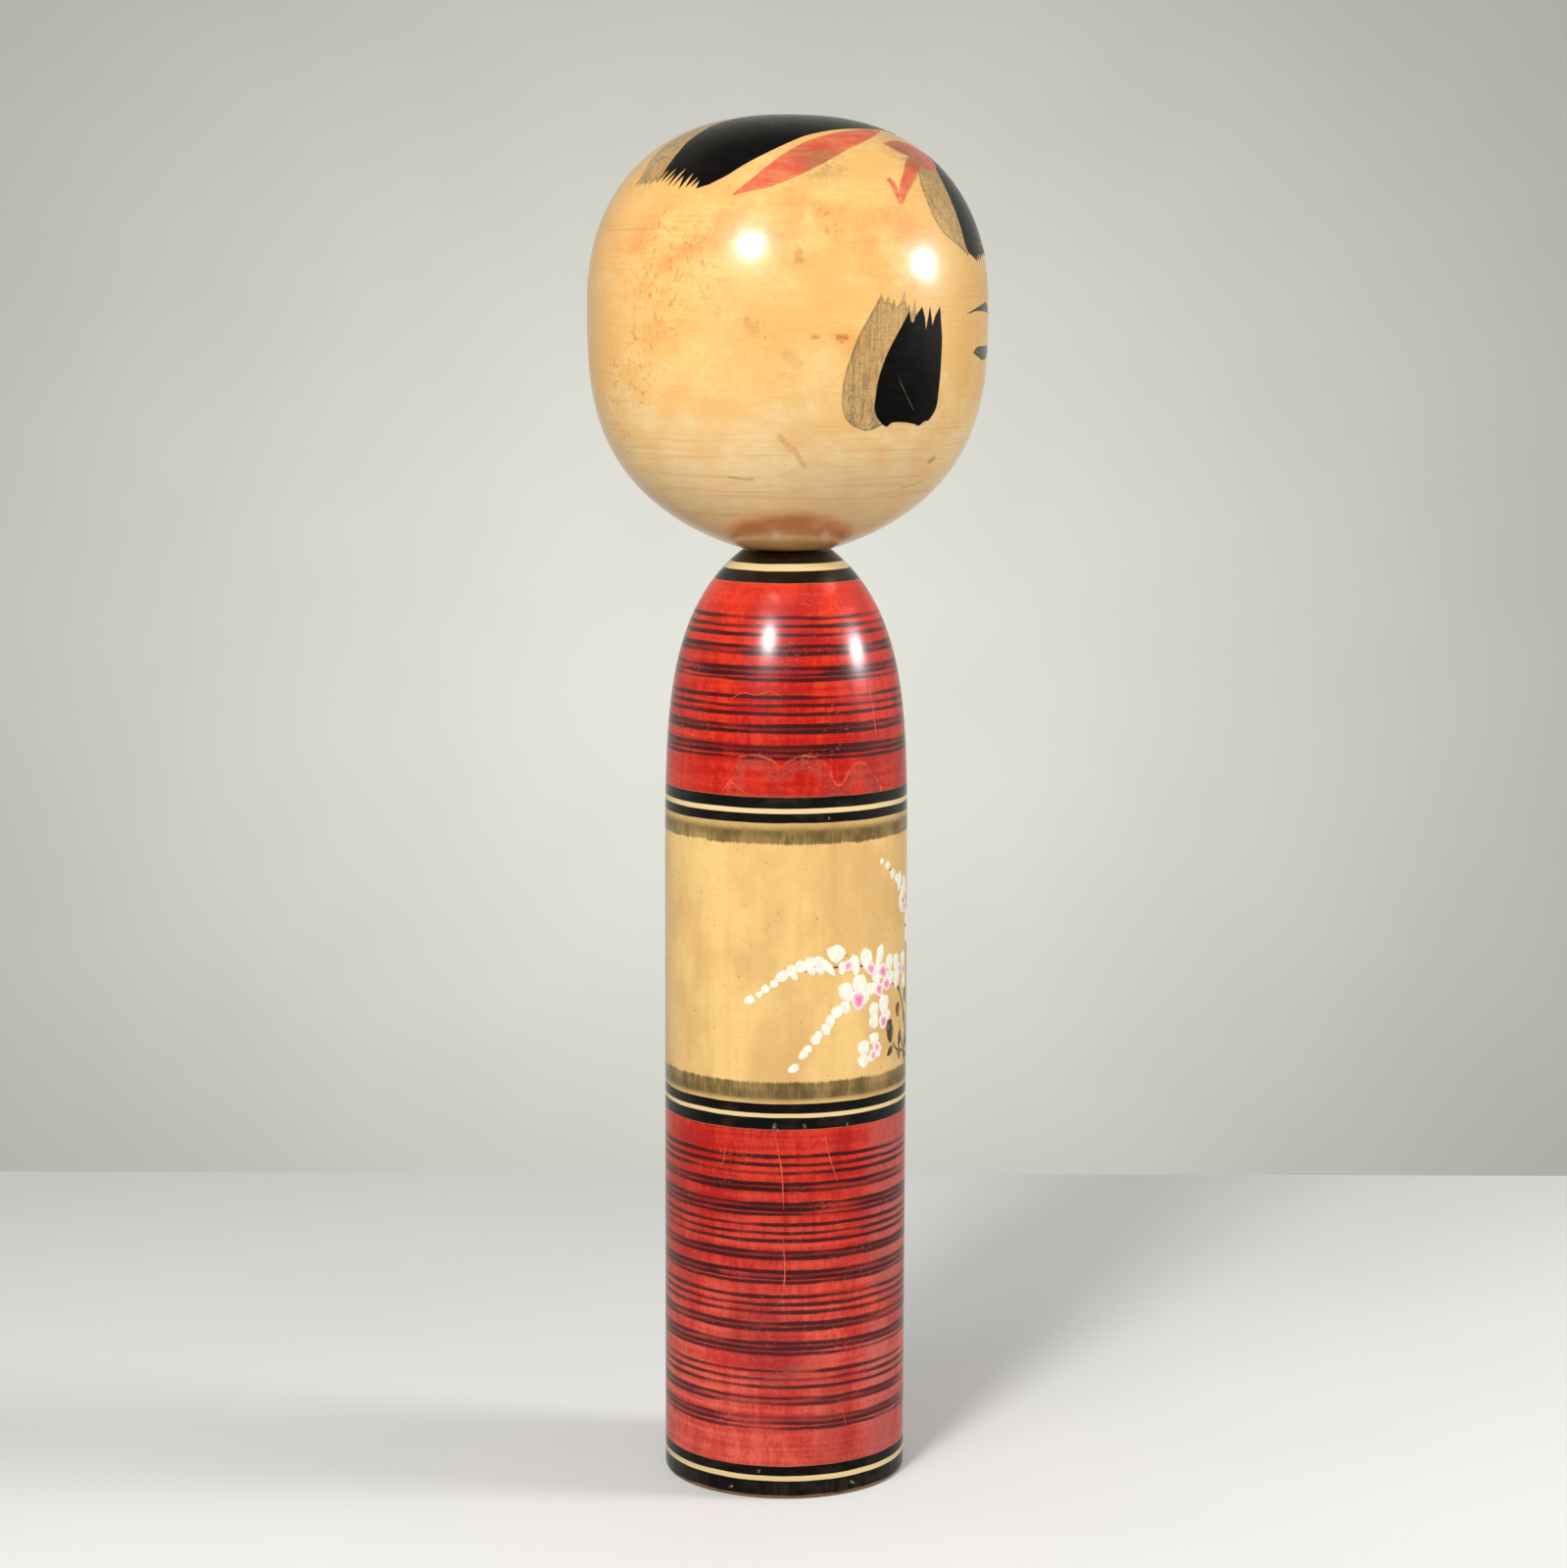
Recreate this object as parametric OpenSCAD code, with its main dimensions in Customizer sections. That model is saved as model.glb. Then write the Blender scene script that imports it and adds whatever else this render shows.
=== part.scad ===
// Kokeshi doll: a turned wooden body with a large turned head that swivels on a hidden peg.
// Millimetres, +Z up, the origin at the centre of the base. The face looks towards -Y.

/* [Body] */
// Radius of the straight part of the body
body_r = 32.5; // [28:0.5:36]
// Height of the body, which is the height of the seam under the head
body_h = 250.6; // [235:0.2:260]
// Height at which the shoulder begins to curve inwards
shoulder_z = 141.5; // [120:0.5:170]
// Radius of the neck at the seam
neck_r = 11.8; // [11:0.1:14]
// How late the shoulder turns inwards
shoulder_lateness = 5.2; // [3:0.1:7]
// How blunt the shoulder is where it meets the neck
shoulder_bluntness = 1.45; // [1.2:0.05:2]
// Bevel around the bottom edge
base_bevel = 0.8; // [0.4:0.1:1.5]

/* [Head] */
// Radius of the head at its widest
head_r = 52.7; // [46:0.1:58]
// Height above the seam of the head's widest place
cheek_h = 63.8; // [55:0.1:72]
// Height of the crown above the head's widest place
crown_h = 49.3; // [40:0.1:56]
// Radius of the head's flat underside at the seam
chin_r = 11.6; // [11:0.1:14]
// How late the crown turns inwards
crown_lateness = 2.2; // [1.8:0.05:3]
// How flat the top of the crown is
crown_bluntness = 2.45; // [1.8:0.05:3]
// How late the jaw turns inwards
jaw_lateness = 3.05; // [2:0.05:4]
// How blunt the jaw is where it meets the neck
jaw_bluntness = 1.6; // [1.3:0.05:2.4]

/* [Neck joint] */
// Radius of the peg
peg_r = 7.5; // [6:0.1:8]
// Length of the peg that is glued into the head
peg_in_head = 25; // [18:1:34]
// Length of the peg that turns in the body
peg_in_body = 27; // [24:1:36]
// Running clearance between the peg and its socket, on the radius
peg_clearance = 0.08; // [0.02:0.01:0.1]
// Radius of the round bead that keeps the head from lifting off
bead_r = 1.4; // [1:0.1:2]
// Height of the bead above the peg
bead_rise = 0.8; // [0.4:0.1:1]
// Depth of the bead's middle below the seam
bead_depth = 17; // [10:1:20]
// Room left around the bead in its groove
groove_room = 0.25; // [0.15:0.05:0.3]
// Gap between the head and the body at the seam
seam_gap = 0.3; // [0.2:0.05:0.5]
// Room left at each end of the peg
end_room = 0.8; // [0.5:0.1:1.5]
// Bevel at each end of the peg
peg_bevel = 1; // [0.5:0.1:1.5]

/* [Hidden] */
// Facets round the axis, and steps along a curved outline
$fn = 96;
curve_steps = 30;
// Height of the head's flat underside
head_z = body_h + seam_gap;
// Height of the bead's middle
bead_z = body_h - bead_depth;
// Extra depth of a cut, so that it starts outside the wood
overcut = 1;

// A quarter of a superellipse, as points from its widest place to its closed end. The radius is r
// at height 0, and it is 0 at the height h.
function quarter(r, h, lateness, bluntness) = [
    for (i = [0 : curve_steps])
        let (a = 90 * i / curve_steps)
        [r * pow(cos(a), 2 / bluntness), h * pow(sin(a), 2 / lateness)]
];

// The closed height of such a quarter that has the radius end_r at the height end_h.
function closed_height(r, end_r, end_h, lateness, bluntness) =
    end_h / pow(1 - pow(end_r / r, bluntness), 1 / lateness);

// The points of such a quarter that lie below the height end_h, and then its point there.
function cut_quarter(r, end_r, end_h, lateness, bluntness) = concat(
    [
        for (p = quarter(r, closed_height(r, end_r, end_h, lateness, bluntness), lateness, bluntness))
            if (p[1] < end_h - seam_gap) p
    ],
    [[end_r, end_h]]
);

shoulder_h = body_h - shoulder_z;
shoulder = cut_quarter(body_r, neck_r, shoulder_h, shoulder_lateness, shoulder_bluntness);
cheek_z = head_z + cheek_h;
jaw = cut_quarter(head_r, chin_r, cheek_h, jaw_lateness, jaw_bluntness);
crown = quarter(head_r, crown_h, crown_lateness, crown_bluntness);

// The peg, larger all round by clearance, and with its bead larger by room.
module peg_shape(bottom_z, top_z, clearance, room) {
    translate([0, 0, bottom_z])
        cylinder(h = top_z - bottom_z, r = peg_r + clearance);
    translate([0, 0, bead_z])
        rotate_extrude()
            translate([peg_r + bead_rise - bead_r, 0])
                circle(r = bead_r + room, $fn = 48);
}

// The body: a cylinder with a rounded shoulder, and a blind socket for the peg in its neck.
module body() {
    color("firebrick")
        difference() {
            rotate_extrude()
                polygon(concat(
                    [[0, 0], [body_r - base_bevel, 0], [body_r, base_bevel]],
                    [for (p = shoulder) [p[0], p[1] + shoulder_z]],
                    [[0, body_h]]
                ));
            peg_shape(body_h - peg_in_body - end_room, body_h + overcut, peg_clearance, groove_room);
        }
}

// The head: a tall crown over a rounder jaw, and a blind mortise for the peg in its underside.
module head() {
    color("burlywood")
        difference() {
            rotate_extrude()
                polygon(concat(
                    [[0, head_z]],
                    [for (i = [len(jaw) - 1 : -1 : 1]) [jaw[i][0], cheek_z - jaw[i][1]]],
                    [for (i = [0 : curve_steps - 1]) [crown[i][0], cheek_z + crown[i][1]]],
                    [[0, cheek_z + crown_h]]
                ));
            translate([0, 0, head_z - overcut])
                cylinder(h = peg_in_head + end_room + overcut, r = peg_r);
        }
}

// The peg: a bevelled dowel, glued into the head, with a bead that turns in the body's groove.
module neck_peg() {
    color("tan")
        intersection() {
            peg_shape(body_h - peg_in_body, head_z + peg_in_head, 0, 0);
            rotate_extrude()
                polygon([
                    [0, body_h - peg_in_body],
                    [peg_r - peg_bevel, body_h - peg_in_body],
                    [peg_r + bead_rise + overcut, body_h - peg_in_body + peg_bevel + bead_rise + overcut],
                    [peg_r + bead_rise + overcut, head_z + peg_in_head - peg_bevel - bead_rise - overcut],
                    [peg_r - peg_bevel, head_z + peg_in_head],
                    [0, head_z + peg_in_head]
                ]);
        }
}

body();
head();
neck_peg();
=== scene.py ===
"""The looks of a kokeshi doll: a turned and painted body under a large turned head that swivels.

Lengths are millimetres here, and become metres when a mesh is made. An azimuth is in degrees from
the front of the doll (-Y) towards +X, so that the painted side that the camera sees is negative.
"""

import math

import bpy
import numpy as np
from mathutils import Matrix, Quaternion, Vector
from mathutils.geometry import delaunay_2d_cdt


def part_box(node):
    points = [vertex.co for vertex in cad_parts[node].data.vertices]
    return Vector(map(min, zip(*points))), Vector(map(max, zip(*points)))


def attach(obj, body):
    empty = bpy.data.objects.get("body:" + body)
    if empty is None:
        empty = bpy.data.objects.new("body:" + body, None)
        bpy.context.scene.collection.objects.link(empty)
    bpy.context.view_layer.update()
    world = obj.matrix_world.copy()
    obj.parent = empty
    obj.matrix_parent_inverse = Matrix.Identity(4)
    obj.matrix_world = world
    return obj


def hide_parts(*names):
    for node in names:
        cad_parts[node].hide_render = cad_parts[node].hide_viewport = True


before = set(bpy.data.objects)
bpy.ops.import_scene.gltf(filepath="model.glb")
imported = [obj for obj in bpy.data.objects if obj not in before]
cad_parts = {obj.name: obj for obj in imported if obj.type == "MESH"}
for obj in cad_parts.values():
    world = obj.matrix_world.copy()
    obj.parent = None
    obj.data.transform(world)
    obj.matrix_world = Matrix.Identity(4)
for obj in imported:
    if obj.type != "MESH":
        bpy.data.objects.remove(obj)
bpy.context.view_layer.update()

MM = 0.001

# ---------------------------------------------------------------- sizes of the turned pieces

body_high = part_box("body")[1] / MM
head_low, head_high = (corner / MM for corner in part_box("head"))
peg_low, peg_high = (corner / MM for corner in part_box("neck_peg"))

BODY_R = body_high.x
BODY_H = body_high.z
# Each curve is a superellipse: lateness shapes its flat part, and bluntness its end.
SHOULDER_Z = 141.5
NECK_R = 11.8
SHOULDER_LATENESS = 5.2
SHOULDER_BLUNTNESS = 1.45
BASE_BEVEL = 0.8

HEAD_R = head_high.x
HEAD_Z = head_low.z
TOP_Z = head_high.z
CHEEK_H = 63.8
CHIN_R = 11.6
CROWN_LATENESS = 2.2
CROWN_BLUNTNESS = 2.45
JAW_LATENESS = 3.05
JAW_BLUNTNESS = 1.6
CHEEK_Z = HEAD_Z + CHEEK_H

PEG_R = 7.5
SOCKET_R = PEG_R + 0.08
END_ROOM = 0.8
# The groove in the socket for the bead round the peg
BEAD_Z = BODY_H - 17
BEAD_OUT = 2.45
BEAD_HIDDEN = 1.5
GROOVE_HALF = 1.5

# The body is shown as two closed pieces that meet at the top edge of the lower black band.
SPLIT_Z = 107.5
# Shares of room in the texture map, next to the 1.0 of the painted outside
HIDDEN_SHARE = 0.12
UNDERSIDE_SHARE = 0.35
# How finely the pieces are turned: round the axis, and along each curve with its last stretch
BODY_SEGMENTS = 224
HEAD_SEGMENTS = 400
SHOULDER_STEPS = 90
HEAD_STEPS = 110
LAST_STEP = 0.2


def closed_height(r, end_r, end_h, lateness, bluntness):
    """The closed height of a superellipse quarter that has the radius end_r at the height end_h."""
    return end_h / (1 - (end_r / r) ** bluntness) ** (1 / lateness)


def quarter(r, h, lateness, bluntness, steps):
    """Radii and heights of a superellipse quarter, from its widest place to its closed end."""
    turn = np.linspace(0, math.pi / 2, steps + 1)
    cosine = np.clip(np.cos(turn), 0, 1)
    return np.column_stack([r * cosine ** (2 / bluntness), h * np.sin(turn) ** (2 / lateness)])


def cut_quarter(r, end_r, end_h, lateness, bluntness, steps):
    """The part of such a quarter below the height end_h, ending at the radius end_r."""
    closed = closed_height(r, end_r, end_h, lateness, bluntness)
    points = quarter(r, closed, lateness, bluntness, steps)
    return np.vstack([points[points[:, 1] < end_h - LAST_STEP], [[end_r, end_h]]])


shoulder_h = BODY_H - SHOULDER_Z
shoulder = cut_quarter(BODY_R, NECK_R, shoulder_h, SHOULDER_LATENESS, SHOULDER_BLUNTNESS, SHOULDER_STEPS)
shoulder = shoulder + [0, SHOULDER_Z]
jaw = cut_quarter(HEAD_R, CHIN_R, CHEEK_H, JAW_LATENESS, JAW_BLUNTNESS, HEAD_STEPS)
jaw = np.column_stack([jaw[:, 0], CHEEK_Z - jaw[:, 1]])
crown = quarter(HEAD_R, TOP_Z - CHEEK_Z, CROWN_LATENESS, CROWN_BLUNTNESS, HEAD_STEPS)
crown = crown + [0, CHEEK_Z]


class Skin:
    """The painted outside of a turned piece, from its top edge down: places by azimuth and arc length."""

    def __init__(self, outline):
        steps = np.hypot(*np.diff(outline, axis=0).T)
        self.arc = np.concatenate([[0], np.cumsum(steps)])
        self.radius, self.height = outline.T
        across = np.gradient(self.radius, self.arc)
        down = np.gradient(self.height, self.arc)
        self.normal = np.column_stack([-down, across]) / np.hypot(across, down)[:, None]

    def arc_at(self, height):
        return np.interp(height, self.height[::-1], self.arc[::-1])

    def place(self, azimuth, arc, lift):
        """Points at these azimuths (radians) and arc lengths, lifted off the surface."""
        out = np.interp(arc, self.arc, self.normal[:, 0])
        up = np.interp(arc, self.arc, self.normal[:, 1])
        radius = np.interp(arc, self.arc, self.radius) + out * lift
        height = np.interp(arc, self.arc, self.height) + up * lift
        return np.column_stack([radius * np.sin(azimuth), -radius * np.cos(azimuth), height])


body_skin = Skin(np.vstack([shoulder[::-1], [[BODY_R, SHOULDER_Z - 1], [BODY_R, 0]]]))
head_skin = Skin(np.vstack([crown[::-1], jaw[1:]]))


def crown_chart(points, lift):
    """The top of the head, flattened from its apex: x towards +X, and -y towards the front."""
    azimuth = np.arctan2(points[:, 0], -points[:, 1])
    return head_skin.place(azimuth, np.hypot(*points.T), lift)


class Side:
    """The side of a turned piece, unrolled: x is the way round at a radius, and y is the height."""

    def __init__(self, skin, radius):
        self.skin = skin
        self.radius = radius

    def unrolled(self, points):
        """Points of (azimuth in degrees, height) as points of this chart."""
        points = np.array(points, float)
        return np.column_stack([np.radians(points[:, 0]) * self.radius, points[:, 1]])

    def chart(self, points, lift):
        return self.skin.place(points[:, 0] / self.radius, self.skin.arc_at(points[:, 1]), lift)


face = Side(head_skin, HEAD_R)
panel = Side(body_skin, BODY_R)


# ---------------------------------------------------------------- building meshes

TURNED_CREASE = math.radians(35)
PAINT_CREASE = math.radians(50)
# Strokes of paint that overlap lie this far apart, in this many steps.
LAYER_STEP = 0.008
LAYER_COUNT = 4
# How far in from its edge a thick layer reaches its full height
DOME_WIDTH = 1.0
# Shares of the spacing of the points that fill an outline: from row to row, and clear of its edge
ROW_STEP = 0.87
EDGE_ROOM = 0.4
# What delaunay_2d_cdt is to keep, and how near to each other it takes two points for one
INSIDE_ONLY = 1
SAME_POINT = 1e-5


def placed(name, data):
    """A new object with this data, in the scene."""
    made = bpy.data.objects.new(name, data)
    bpy.context.scene.collection.objects.link(made)
    return made


def mesh_object(name, vertices, faces):
    mesh = bpy.data.meshes.new(name)
    mesh.from_pydata([tuple(v) for v in np.asarray(vertices) * MM], [], faces)
    mesh.validate()
    mesh.shade_smooth()
    return placed(name, mesh)


def doll_object(name, vertices, faces, body, slot):
    made = mesh_object(name, vertices, faces)
    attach(made, body)
    return made


def store(made, label, values):
    """Keeps one number for each of an object's points, for its material to read."""
    layer = made.data.attributes.new(label, "FLOAT", "POINT")
    layer.data.foreach_set("value", np.array(values, np.float32))


def lathe(name, outline, shares, segments, body, slot):
    """A closed solid turned from an outline that starts and ends on the axis.

    shares holds, for each stretch of the outline, how much room it gets in the texture map.
    """
    outline = np.asarray(outline, float)
    turn = np.linspace(0, 2 * math.pi, segments, endpoint=False)
    around = np.column_stack([-np.sin(turn), np.cos(turn)])
    rings = [
        np.column_stack([around * radius, np.full(segments, height)])
        for radius, height in outline[1:-1]
    ]
    first, last = [0, 0, outline[0, 1]], [0, 0, outline[-1, 1]]
    vertices = np.vstack([[first], *rings, [last]])
    corners = []
    for i in range(len(rings) + 1):
        for j in range(segments):
            near_end = [(i, j), (i, j + 1)] if i > 0 else [(0, j + 0.5)]
            far_end = [(i + 1, j + 1), (i + 1, j)] if i < len(rings) else [(i + 1, j + 0.5)]
            corners.append(near_end + far_end)

    def number(i, j):
        if i == 0:
            return 0
        if i > len(rings):
            return len(vertices) - 1
        return 1 + (i - 1) * segments + j % segments

    faces = [[number(i, j) for i, j in face] for face in corners]
    made = doll_object(name, vertices, faces, body, slot)
    lengths = np.hypot(*np.diff(outline, axis=0).T) * shares
    v = np.concatenate([[0], np.cumsum(lengths)]) / lengths.sum()
    layer = made.data.uv_layers.new(name="OFBake")
    flat = [(j / segments, v[i]) for face in corners for i, j in face]
    layer.data.foreach_set("uv", np.array(flat, np.float32).ravel())
    made.data.set_sharp_from_angle(angle=TURNED_CREASE)
    return made


def smooth(points, steps=6):
    """A smooth curve through the points (Catmull-Rom), without its last point."""
    points = np.array(points, float)
    ends = np.vstack([2 * points[0] - points[1], points, 2 * points[-1] - points[-2]])
    curve = []
    for a, b, c, d in zip(ends, ends[1:], ends[2:], ends[3:]):
        for t in np.arange(steps) / steps:
            squared = (2 * a - 5 * b + 4 * c - d) * t**2
            cubed = (3 * b - a - 3 * c + d) * t**3
            curve.append(0.5 * (2 * b + (c - a) * t + squared + cubed))
    return np.array(curve)


def ragged(start, end, along, count, reach, seed):
    """The ends of dry bristles between two corners: tips that point along a direction, and notches."""
    chance = np.random.default_rng(seed)
    start, end, along = (np.array(p, float) for p in (start, end, along))
    points = []
    for i in range(count):
        middle = (i + chance.uniform(0.3, 0.7)) / count
        points.append(start + (end - start) * middle + along * reach * chance.uniform(0.45, 1.0))
        if i < count - 1:
            edge = (i + 1) / count
            points.append(start + (end - start) * edge - along * reach * chance.uniform(0.0, 0.5))
    return np.array(points)


def mirrored(points):
    """The same outline on the other side of the doll."""
    return np.array(points, float)[::-1] * [-1, 1]


def depth_inside(points, outline):
    """How far each point lies inside an outline, negative outside it."""
    points, start = np.asarray(points, float), np.asarray(outline, float)
    end = np.roll(start, -1, axis=0)
    side = end - start
    offset = points[:, None] - start
    along = np.clip((offset * side).sum(2) / np.maximum((side**2).sum(1), 1e-9), 0, 1)
    gap = np.linalg.norm(offset - along[..., None] * side, axis=2).min(1)
    x, y = points[:, 0, None], points[:, 1, None]
    spans = (start[:, 1] > y) != (end[:, 1] > y)
    rise = np.where(side[:, 1] == 0, 1e-9, side[:, 1])
    crossings = spans & (x < start[:, 0] + (y - start[:, 1]) * side[:, 0] / rise)
    return np.where(crossings.sum(1) % 2 == 1, gap, -gap)


def resampled(outline, spacing):
    """The outline with points added so that no side is longer than spacing."""
    points = []
    for a, b in zip(outline, np.roll(outline, -1, axis=0)):
        count = max(1, math.ceil(np.linalg.norm(b - a) / spacing))
        points += [a + (b - a) * i / count for i in range(count)]
    return np.array(points)


def filled(outline, spacing):
    """Points and triangles that fill an outline evenly, and each point's depth inside it."""
    edge = resampled(np.asarray(outline, float), spacing)
    low, high = edge.min(0), edge.max(0)
    columns = np.arange(low[0], high[0], spacing)
    lines = np.arange(low[1], high[1], spacing * ROW_STEP)
    grid = np.array([
        (x + (spacing / 2 if i % 2 else 0), y) for i, y in enumerate(lines) for x in columns
    ]).reshape(-1, 2)
    grid = grid[depth_inside(grid, edge) > spacing * EDGE_ROOM] if len(grid) else grid
    points = [Vector(p) for p in np.vstack([edge, grid])]
    loop = [(i, (i + 1) % len(edge)) for i in range(len(edge))]
    found, _, triangles, *_ = delaunay_2d_cdt(points, loop, [], INSIDE_ONLY, SAME_POINT)
    found = np.array([tuple(p) for p in found])
    return found, [tuple(t) for t in triangles], np.maximum(depth_inside(found, edge), 0)


def painted_shapes(name, chart, outlines, body, slot, spacing=1.2, lift=0.05, dome=0.0):
    """Thin closed layers of paint over a turned surface, all in one object.

    dome is how far the middle of a thick layer stands up. Each point carries edge, its depth inside
    its outline.
    """
    vertices, faces, edge = [], [], []
    for number, outline in enumerate(outlines):
        points, triangles, depth = filled(outline, spacing)
        overlap = LAYER_STEP * (number % LAYER_COUNT)
        height = lift + overlap + dome * np.sqrt(np.clip(depth / DOME_WIDTH, 0, 1))
        base, under = len(vertices), len(vertices) + len(points)
        vertices += list(chart(points, height)) + list(chart(points, -lift))
        sides = {}
        for triangle in triangles:
            a, b, c = triangle
            turn = np.cross(points[b] - points[a], points[c] - points[a])
            a, b, c = (a, b, c) if turn > 0 else (a, c, b)
            faces.append((base + a, base + b, base + c))
            faces.append((under + a, under + c, under + b))
            for pair in ((a, b), (b, c), (c, a)):
                if pair[::-1] in sides:
                    del sides[pair[::-1]]
                else:
                    sides[pair] = True
        faces += [(base + b, base + a, under + a, under + b) for a, b in sides]
        edge += list(depth) * 2
    made = doll_object(name, vertices, faces, body, slot)
    store(made, "edge", edge)
    made.data.set_sharp_from_angle(angle=PAINT_CREASE)
    return made


# ---------------------------------------------------------------- building materials

BUMP_STRENGTH = 0.11
WAX_IOR = 1.45


def colour(red, green, blue):
    """A colour given as screen values from 0 to 255, as linear values."""
    linear = [
        v / 12.92 if v <= 0.04045 else ((v + 0.055) / 1.055) ** 2.4
        for v in (red / 255, green / 255, blue / 255)
    ]
    return (*linear, 1.0)


class Value:
    """A node's output. Arithmetic on it adds a math node to the same material."""

    def __init__(self, paint, socket):
        self.paint = paint
        self.socket = socket

    def __add__(self, other):
        return self.paint.math("ADD", self, other)

    def __sub__(self, other):
        return self.paint.math("SUBTRACT", self, other)

    def __rsub__(self, other):
        return self.paint.math("SUBTRACT", other, self)

    def __mul__(self, other):
        return self.paint.math("MULTIPLY", self, other)

    def __abs__(self):
        return self.paint.math("ABSOLUTE", self)


class Paint:
    """One procedural material. Most of its calls add a node and return that node's output."""

    def __init__(self, name):
        self.material = bpy.data.materials.new(name)
        self.material.use_nodes = True
        self.tree = self.material.node_tree
        self.shader = self.tree.nodes["Principled BSDF"]
        in_metres = self.add("ShaderNodeTexCoord", output="Object")
        self.place = self.vector("MULTIPLY", in_metres, [1 / MM] * 3)
        apart = self.add("ShaderNodeSeparateXYZ", self.place).socket.node
        self.x, self.y, self.z = (Value(self, socket) for socket in apart.outputs)

    def feed(self, socket, value):
        """Links a Value to a socket, or sets the socket to a constant."""
        if isinstance(value, Value):
            self.tree.links.new(value.socket, socket)
        else:
            socket.default_value = value

    def add(self, kind, *values, output=0, **settings):
        """Adds a node with these settings and first inputs, and returns one of its outputs."""
        node = self.tree.nodes.new(kind)
        for key, value in settings.items():
            setattr(node, key, value)
        for socket, value in zip(node.inputs, values):
            self.feed(socket, value)
        return Value(self, node.outputs[output])

    def math(self, operation, *values, clamp=False):
        return self.add("ShaderNodeMath", *values, operation=operation, use_clamp=clamp)

    def vector(self, operation, *values, output=0):
        return self.add("ShaderNodeVectorMath", *values, operation=operation, output=output)

    def attribute(self, name):
        return self.add("ShaderNodeAttribute", attribute_name=name, output="Fac")

    def ramp(self, value, start, end, low=0.0, high=1.0):
        """low where value is start or before it, high where it is end or past it, and smooth between."""
        return self.add("ShaderNodeMapRange", value, start, end, low, high, interpolation_type="SMOOTHSTEP")

    def band(self, value, low, high, soft=0.1):
        """1 where value is between low and high, with soft edges."""
        return self.ramp(value, low - soft, low + soft) * self.ramp(value, high + soft, high - soft)

    def mix(self, share, first, second):
        mixed = self.add("ShaderNodeMix", share, data_type="RGBA", output=2)
        self.feed(mixed.socket.node.inputs[6], first)
        self.feed(mixed.socket.node.inputs[7], second)
        return mixed

    def coats(self, base, *layers):
        """A base colour with more colours over it, each given with the share of it that shows."""
        for share, tone in layers:
            base = self.mix(share, base, tone)
        return base

    def most(self, *values):
        """The largest of several values."""
        found = values[0]
        for value in values[1:]:
            found = self.math("MAXIMUM", found, value)
        return found

    def radius(self):
        """How far the place is from the doll's axis."""
        return self.math("SQRT", self.x * self.x + self.y * self.y)

    def cloud(self, across, up, detail=3.0, roughness=0.55, shift=0.0, warp=0.0):
        """Noise from about 0 to 1, whose features are this many millimetres wide and high."""
        offset = (shift, shift * 0.7, shift * 1.3)
        place = self.vector("MULTIPLY_ADD", self.place, (1 / across, 1 / across, 1 / up), offset)
        noise = self.add("ShaderNodeTexNoise", place)
        settings = {"Scale": 1.0, "Detail": detail, "Roughness": roughness, "Distortion": warp}
        for label, value in settings.items():
            noise.socket.node.inputs[label].default_value = value
        return noise

    def near(self, start, end, reach, rough):
        """1 on the line between two points on the doll, and 0 past its reach; rough frays that edge."""
        start, side = Vector(start), Vector(end) - Vector(start)
        offset = self.vector("SUBTRACT", self.place, start)
        along = self.vector("DOT_PRODUCT", offset, side / max(side.length_squared, 1.0), output="Value")
        foot = self.vector("MULTIPLY", side, self.math("ADD", along, 0.0, clamp=True))
        away = self.vector("DISTANCE", offset, foot, output="Value")
        return self.ramp(away + rough * reach, reach, reach * 0.25)

    def spots(self, side, rows, rough):
        """Where the place is near one of the rows, each with its two ends or its middle, and its reach."""
        found = []
        for *ends, reach in rows:
            start, end = side.chart(side.unrolled([ends[:2], ends[-2:]]), 0)
            found.append(self.near(start, end, reach, rough))
        return self.most(*found)

    def finish(self, base, sheen, roughness, relief, depth, coat=1.0, coat_roughness=0.19, gloss=0.36):
        """Sets the colour, a roughness that runs between two values with the sheen, and a bump of that
        depth in millimetres, all under clear wax.
        """
        bump = self.add("ShaderNodeBump", output="Normal")
        bump_inputs = bump.socket.node.inputs
        self.feed(bump_inputs["Height"], relief)
        bump_inputs["Strength"].default_value = BUMP_STRENGTH
        bump_inputs["Distance"].default_value = depth * MM
        settings = {
            "Base Color": base,
            "Roughness": self.ramp(sheen, 0.3, 0.7, *roughness),
            "Normal": bump,
            "Coat Normal": bump,
            "Coat Weight": coat,
            "Coat Roughness": coat_roughness,
            "Coat IOR": WAX_IOR,
            "Specular IOR Level": gloss,
        }
        for label, value in settings.items():
            self.feed(self.shader.inputs[label], value)
        return self.material


# The wood's own colours, those of the paints, and those of painted reflection, shade and sheen
HONEY = colour(229, 181, 106)
GOLD = colour(232, 184, 104)
BEIGE = colour(232, 199, 144)
ORANGE_WOOD = colour(228, 152, 82)
AMBER = colour(196, 132, 66)
UMBER = colour(128, 76, 36)
PALE_WOOD = colour(246, 214, 150)
# the colour of a painted reflection of the red shoulder and painted shade round the neck
NECK_REFLECTION_BROWN = colour(172, 106, 48)
FLECK_BROWN = colour(176, 108, 46)
MARK_BROWN = colour(158, 94, 40)
DIRT = colour(150, 116, 76)
CREAM = colour(232, 204, 150)
INK = colour(9, 6, 4)
BROWN_INK = colour(46, 32, 24)
GREY_WASH = colour(112, 96, 66)
RED = colour(178, 14, 2)
LIGHT_RED = colour(222, 56, 30)
LOW_RED = colour(202, 50, 40)
LOW_LIGHT_RED = colour(236, 106, 84)
PLUM = colour(152, 30, 32)
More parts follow.
